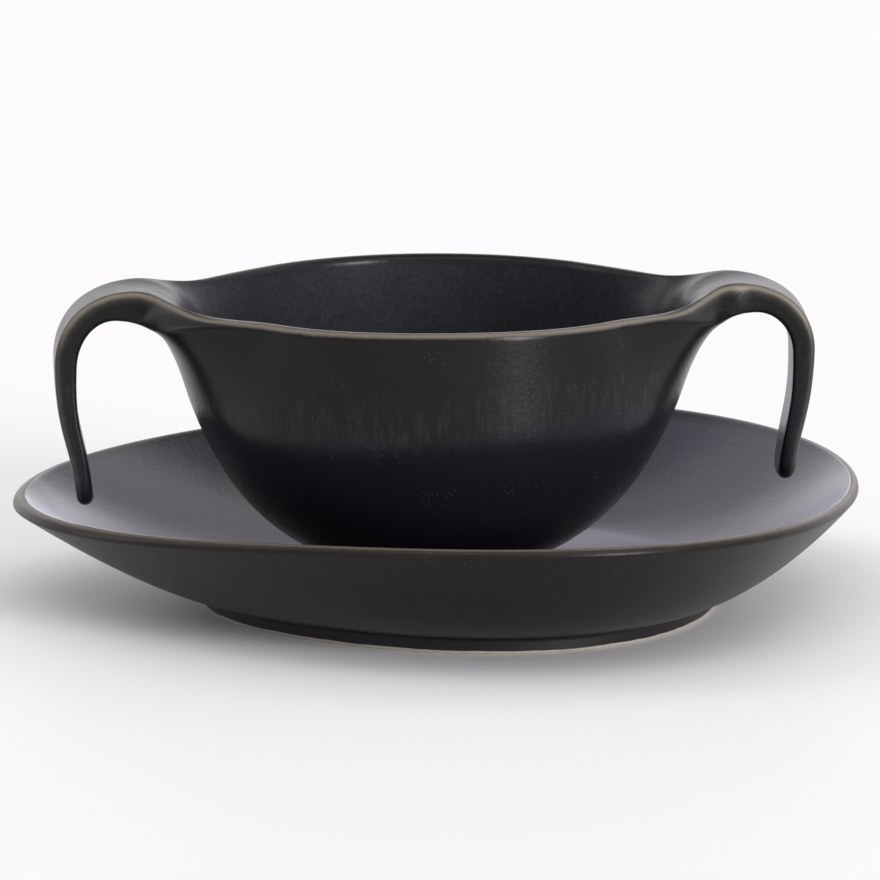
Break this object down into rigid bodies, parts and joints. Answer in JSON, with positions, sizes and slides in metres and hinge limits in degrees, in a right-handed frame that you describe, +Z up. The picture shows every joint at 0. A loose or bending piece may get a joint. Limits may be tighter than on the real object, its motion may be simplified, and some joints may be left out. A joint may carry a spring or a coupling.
{
  "type": "soup cup with saucer",
  "caption": "Dark glazed stoneware soup cup on a deep out-of-round saucer; its strap handles spring from the rim and hang free, and the cup lifts off the saucer.",
  "frame": {"origin": "on the table, under the middle of the whole set's footprint", "axes": "+Z up, +X through the handle on the right as the picture sees it, +Y away from the viewer"},
  "size_m": [0.1921, 0.1823, 0.0748],
  "materials": {
    "cup_glaze": "satin near-black glaze, breaking brown on the rim and on the straps' edges",
    "saucer_glaze": "satin charcoal glaze, breaking brown on the rim",
    "foot_clay": "thin dark glaze wiped back to pale bare clay on the standing edge"
  },
  "bodies": {
    "saucer": {"saucer_dish": "saucer_glaze", "saucer_foot_ring": "foot_clay"},
    "cup": {"cup_bowl": "cup_glaze", "handle_right": "cup_glaze", "handle_left": "cup_glaze", "cup_foot_ring": "foot_clay"}
  },
  "joints": [
    {"name": "cup_lift", "type": "slide", "parent": "saucer", "child": "cup", "axis": [0, 0, 1], "range_m": [0, 0.1]}
  ]
}
